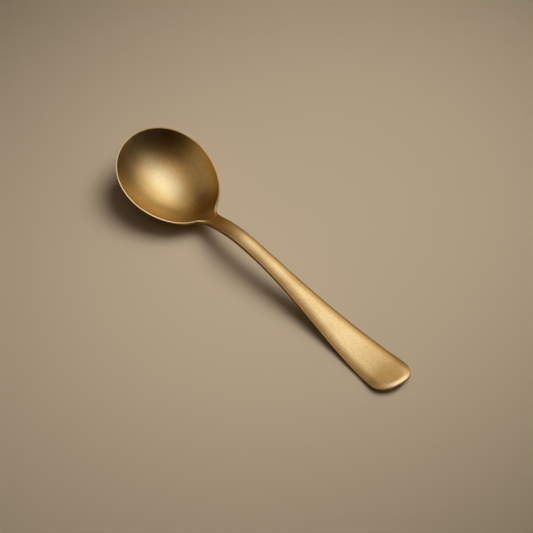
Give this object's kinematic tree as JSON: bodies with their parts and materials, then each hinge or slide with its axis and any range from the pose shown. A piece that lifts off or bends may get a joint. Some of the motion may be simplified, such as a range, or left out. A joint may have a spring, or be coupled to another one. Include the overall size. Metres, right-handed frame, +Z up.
{
  "type": "serving spoon",
  "caption": "Satin brass serving spoon with a round deep bowl, a slim arched neck and a handle that flares to a rounded, slightly slanted and turned-up end.",
  "frame": {"origin": "middle of the small flat under the bowl, on the table that the spoon lies on", "axes": "+X from the bowl along the handle, +Y across the spoon, +Z up out of the bowl"},
  "size_m": [0.2059, 0.0526, 0.0233],
  "materials": {
    "satin_brass": "satin, brushed along the handle and round the bowl",
    "braze": "satin, dressed flush with the neck"
  },
  "bodies": {
    "root": {"bowl": "satin_brass", "handle": "satin_brass", "braze_seam": "braze"}
  },
  "joints": []
}
